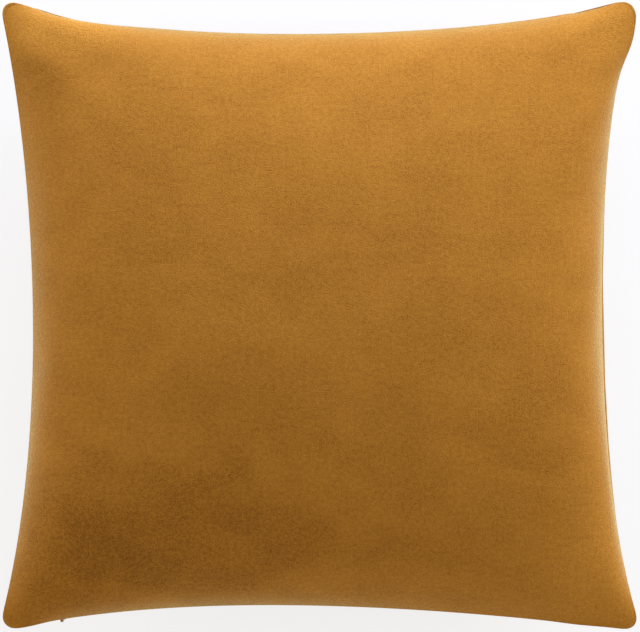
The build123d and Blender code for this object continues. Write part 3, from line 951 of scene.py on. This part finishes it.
def velvet(name):
    """Cut pile: a dense short grain, faint rows of the ground weave, brushed nap, and patches of
    painted highlight and painted shade.
    """
    made, tree, shader = material(name)
    cut = node(tree, "ShaderNodeUVMap", uv_map="cut").outputs["UV"]
    metres = vectors(tree, "MULTIPLY", cut, (CUT, CUT, 1))

    def noise_at(scale, detail, stretch=(1, 1, 1), distortion=0.0):
        placed = node(tree, "ShaderNodeMapping", {"Vector": metres, "Scale": stretch}).outputs[0]
        inputs = {"Scale": scale, "Detail": detail, "Roughness": 0.55, "Distortion": distortion}
        return node(tree, "ShaderNodeTexNoise", {"Vector": placed, **inputs}).outputs["Fac"]

    def around_zero(value, by):
        return times(tree, calculate(tree, "SUBTRACT", value, 0.5), by)

    pile = noise_at(900, 2)
    tuft = noise_at(300, 2)
    down = noise_at(520, 1, (1, 0.06, 1))
    across = noise_at(520, 1, (0.06, 1, 1))
    brushed = noise_at(13, 2, (1, 1.5, 1), 0.6)
    stroked = noise_at(38, 3, (1, 1, 1), 0.4)
    broad = ramp(tree, brushed, 0.35, 0.65, -0.5, 0.5)
    nap = plus(tree, broad, ramp(tree, stroked, 0.35, 0.65, -0.3, 0.3))
    grain = plus(tree, around_zero(pile, 3.6), around_zero(tuft, 1.8))
    weave = plus(tree, around_zero(down, 0.7), around_zero(across, 0.7))
    shade = plus(tree, times(tree, nap, 0.08), 1.0)
    # Each patch adds to the shade value: a painted highlight where its amount is positive, painted
    # shade where it is negative.
    for x, y, wide, high, amount in PAINTED_LIGHT_AND_SHADE_PATCHES:
        middle = (x / CUT + 0.5, y / CUT + 0.5, 0)
        away = vectors(tree, "SUBTRACT", cut, middle)
        away = vectors(tree, "MULTIPLY", away, (CUT / wide, CUT / high, 0))
        away = vectors(tree, "LENGTH", away, (0, 0, 0), "Value")
        away = plus(tree, away, times(tree, nap, 0.14))
        shade = plus(tree, shade, ramp(tree, away, 0.15, 1.35, amount, 0.0))
    # Where the shade value is low the colour is darker, deeper, and shows more of its grain, as
    # where the pile leans away; inside the patches this is painted shade, and where they raise the
    # value it is a painted highlight, lighter and paler.
    depth = ramp(tree, shade, 0.72, 1.05, 0.78, 0.42)
    tone = plus(tree, times(tree, grain, depth), 0.5)
    tone = plus(tree, tone, times(tree, weave, 0.16))
    colour = mix_colour(tree, tone, (0.245, 0.088, 0.0055, 1), (0.460, 0.198, 0.022, 1))
    powers = {"X": shade}
    for channel, power in (("Y", 1.2), ("Z", 2.0)):
        powers[channel] = calculate(tree, "POWER", shade, power)
    lean = node(tree, "ShaderNodeCombineXYZ", powers).outputs[0]
    colour = vectors(tree, "MULTIPLY", colour, lean)
    tree.links.new(colour, shader.inputs["Base Color"])
    rough = ramp(tree, tone, 0.0, 1.0, 0.92, 0.80)
    tree.links.new(rough, shader.inputs["Roughness"])
    shader.inputs["Specular IOR Level"].default_value = 0.12
    shader.inputs["Sheen Weight"].default_value = 1.0
    shader.inputs["Sheen Roughness"].default_value = 0.33
    shader.inputs["Sheen Tint"].default_value = (1.0, 0.87, 0.42, 1)
    roughen(tree, shader, plus(tree, grain, times(tree, nap, 0.6)), 0.35, 0.0006)
    return made


velvet_material = velvet("golden_velvet")
for piece, cad in ((front, "cover_front_panel"), (back, "cover_back_panel")):
    piece.data.materials.clear()
    piece.data.materials.append(velvet_material)
    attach(piece, "pillow")
    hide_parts(cad)


def woven(name, light, dark, scale, stretch, rough, sheen, bump_height):
    """Plain woven cloth or tape: crossing rows of yarn, with slight slubs."""
    made, tree, shader = material(name)
    place = node(tree, "ShaderNodeTexCoord").outputs["Object"]

    def wave(direction, size):
        inputs = {"Scale": size, "Distortion": 0.6, "Detail": 1.0, "Detail Scale": 2.0}
        return node(
            tree,
            "ShaderNodeTexWave",
            {"Vector": place, **inputs},
            wave_type="BANDS",
            bands_direction=direction,
        ).outputs["Fac"]

    warp = wave("X", scale)
    weft = wave("Y", scale * stretch)
    yarn = times(tree, plus(tree, warp, weft), 0.5)
    slub = speckle(tree, place, 260, 3)
    tone = plus(tree, times(tree, yarn, 0.7), times(tree, slub, 0.4))
    tree.links.new(mix_colour(tree, tone, dark, light), shader.inputs["Base Color"])
    tree.links.new(ramp(tree, tone, 0, 1, rough + 0.06, rough - 0.06), shader.inputs["Roughness"])
    shader.inputs["Specular IOR Level"].default_value = 0.25
    shader.inputs["Sheen Weight"].default_value = sheen
    roughen(tree, shader, tone, 0.4, bump_height)
    return made


def fibrous(name):
    """Loose polyester filling: matted white fibres in soft tufts."""
    made, tree, shader = material(name)
    place = node(tree, "ShaderNodeTexCoord").outputs["Object"]
    strands = speckle(tree, place, 900, 4, (1, 0.25, 1), 2.5)
    tufts = speckle(tree, place, 60, 2)
    tone = plus(tree, times(tree, strands, 0.6), times(tree, tufts, 0.5))
    white = mix_colour(tree, tone, (0.62, 0.61, 0.58, 1), (0.93, 0.93, 0.91, 1))
    tree.links.new(white, shader.inputs["Base Color"])
    tree.links.new(ramp(tree, tone, 0, 1, 0.95, 0.8), shader.inputs["Roughness"])
    shader.inputs["Sheen Weight"].default_value = 0.4
    shader.inputs["Specular IOR Level"].default_value = 0.15
    roughen(tree, shader, tone, 0.7, 0.002)
    return made


def twisted(name, light, dark, twist, rough):
    """Spun sewing thread: fine slanting plies."""
    made, tree, shader = material(name)
    place = node(tree, "ShaderNodeTexCoord").outputs["Object"]
    plies = node(
        tree,
        "ShaderNodeTexWave",
        {"Vector": place, "Scale": twist, "Distortion": 1.0, "Detail": 1.0},
        wave_type="BANDS",
        bands_direction="DIAGONAL",
    ).outputs["Fac"]
    tree.links.new(mix_colour(tree, plies, dark, light), shader.inputs["Base Color"])
    tree.links.new(ramp(tree, plies, 0, 1, rough + 0.08, rough - 0.08), shader.inputs["Roughness"])
    shader.inputs["Sheen Weight"].default_value = 0.2
    roughen(tree, shader, plies, 0.5, 0.00008)
    return made


def moulded(name, light, dark, rough, metallic):
    """Nylon or painted metal: an almost even colour with fine scuffs."""
    made, tree, shader = material(name)
    place = node(tree, "ShaderNodeTexCoord").outputs["Object"]
    mottle = ramp(tree, speckle(tree, place, 700, 4), 0.3, 0.7, 0, 1)
    scuff = speckle(tree, place, 2600, 2, (0.15, 1, 1))
    worn = ramp(tree, scuff, 0.35, 0.7, rough - 0.08, rough + 0.12)
    tree.links.new(mix_colour(tree, mottle, dark, light), shader.inputs["Base Color"])
    tree.links.new(worn, shader.inputs["Roughness"])
    shader.inputs["Metallic"].default_value = metallic
    roughen(tree, shader, scuff, 0.25, 0.00004)
    return made


WHITE = ((0.90, 0.89, 0.86, 1), (0.65, 0.64, 0.60, 1))
TICKED = ((0.86, 0.85, 0.81, 1), (0.66, 0.65, 0.61, 1))
SATIN = ((0.90, 0.89, 0.86, 1), (0.76, 0.75, 0.72, 1))
TAPED = ((0.44, 0.21, 0.045, 1), (0.27, 0.12, 0.022, 1))
SPUN = ((0.50, 0.25, 0.06, 1), (0.30, 0.13, 0.025, 1))
NYLON = ((0.46, 0.22, 0.05, 1), (0.38, 0.17, 0.035, 1))
ENAMEL = ((0.44, 0.20, 0.035, 1), (0.36, 0.155, 0.025, 1))
finishes = {
    "ticking_cotton": woven("white_ticking", *TICKED, 900, 1.1, 0.85, 0.25, 0.0002),
    "zip_tape": woven("gold_zip_tape", *TAPED, 1300, 1.0, 0.75, 0.15, 0.0002),
    "label_tape": woven("white_label_satin", *SATIN, 1500, 0.35, 0.45, 0.1, 0.0001),
    "filling": fibrous("polyester_fibre"),
    "cover_thread": twisted("gold_thread", *SPUN, 2200, 0.55),
    "insert_thread": twisted("white_thread", *WHITE, 2200, 0.55),
    "zip_teeth": moulded("gold_nylon", *NYLON, 0.38, 0.0),
    "zip_metal": moulded("gold_enamel", *ENAMEL, 0.36, 0.0),
}


def dress(piece, body, slot, *stands_for):
    """Gives a new piece its finish and its body, and hides the CAD nodes that it stands for."""
    piece.data.materials.clear()
    piece.data.materials.append(finishes[slot])
    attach(piece, body)
    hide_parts(*stands_for)


for piece, cad in zip(insert_panels, ("insert_front_ticking", "insert_back_ticking")):
    dress(piece, "pillow", "ticking_cotton", cad)
dress(fibre, "pillow", "filling", "insert_fill")
for piece, cad, slot in thread_pieces:
    dress(piece, "pillow", slot, cad)
for piece, side in zip(tapes, ("front", "back")):
    dress(piece, "pillow", "zip_tape", f"zip_tape_{side}")
dress(care, "pillow", "label_tape", "care_label")
dress(blank, "pillow", "label_tape", "insert_label")
for name, slot in (
    ("zip_slider_body", "zip_metal"),
    ("zip_pull_tab", "zip_metal"),
    ("zip_top_stops", "zip_teeth"),
    ("zip_bottom_stop", "zip_teeth"),
):
    nodes[name].data.materials.clear()
    nodes[name].data.materials.append(finishes[slot])


# ------------------------------------------------------------------ floor, light and camera
corners = [(-4, -4, 0), (4, -4, 0), (4, 4, 0), (-4, 4, 0)]
floor = link("floor", corners, [(0, 1, 2, 3)], smooth=False)
floor.location.z = cad_low.z - 0.0002
made, tree, shader = material("pale_floor")
shader.inputs["Base Color"].default_value = (0.16, 0.16, 0.16, 1)
shader.inputs["Roughness"].default_value = 0.9
shader.inputs["Specular IOR Level"].default_value = 0.1
shader.inputs["Emission Color"].default_value = (1, 1, 1, 1)
shader.inputs["Emission Strength"].default_value = 0.80
floor.data.materials.append(made)

world = bpy.data.worlds.new("studio")
world.use_nodes = True
sky = next(x for x in world.node_tree.nodes if x.type == "BACKGROUND")
sky.inputs["Color"].default_value = (1, 0.975, 0.92, 1)
sky.inputs["Strength"].default_value = 0.27
scene.world = world


def softbox(name, place, aim, size, power, colour=(1, 1, 1)):
    lamp = bpy.data.lights.new(name, "AREA")
    lamp.shape = "RECTANGLE"
    lamp.size, lamp.size_y = size
    lamp.energy = power
    lamp.color = colour
    made = bpy.data.objects.new(name, lamp)
    made.location = place
    direction = Vector(aim) - Vector(place)
    made.rotation_euler = direction.to_track_quat("-Z", "Y").to_euler()
    scene.collection.objects.link(made)
    return made


middle = (cad_low + cad_high) / 2
COOL, WARM = (0.91, 1.0, 1.36), (1.08, 1.0, 0.76)
softbox("key_top", (0.35, 1.9, 1.15), middle, (1.6, 0.7), 27, COOL)
softbox("fill_right", (1.9, 0.2, 1.1), middle, (0.7, 1.6), 16.5)
softbox("fill_left", (-1.9, 0.2, 1.1), middle, (0.7, 1.6), 3.5)
softbox("low_top", (0.1, 2.1, 0.42), middle, (1.8, 0.4), 50, COOL)
softbox("low_left", (-2.1, 0.1, 0.45), middle, (0.4, 1.8), 21, WARM)
softbox("low_right", (2.1, 0.1, 0.45), middle, (0.4, 1.8), 16)
softbox("low_bottom", (0, -2.1, 0.40), middle, (1.8, 0.4), 12.5, WARM)

camera_data = bpy.data.cameras.new("camera")
camera = bpy.data.objects.new("camera", camera_data)
scene.collection.objects.link(camera)
scene.camera = camera
DISTANCE = 4.0
FIELD = 0.5039         # metres across the picture, at the seam
camera_data.sensor_width = 36
camera_data.lens = camera_data.sensor_width * DISTANCE / FIELD
camera_data.clip_end = 20
camera.location = (0.0004, -0.0005, SEAM_Z + DISTANCE)
camera.rotation_euler = (0, 0, 0)
scene.view_settings.view_transform = "Standard"
scene.view_settings.look = "None"
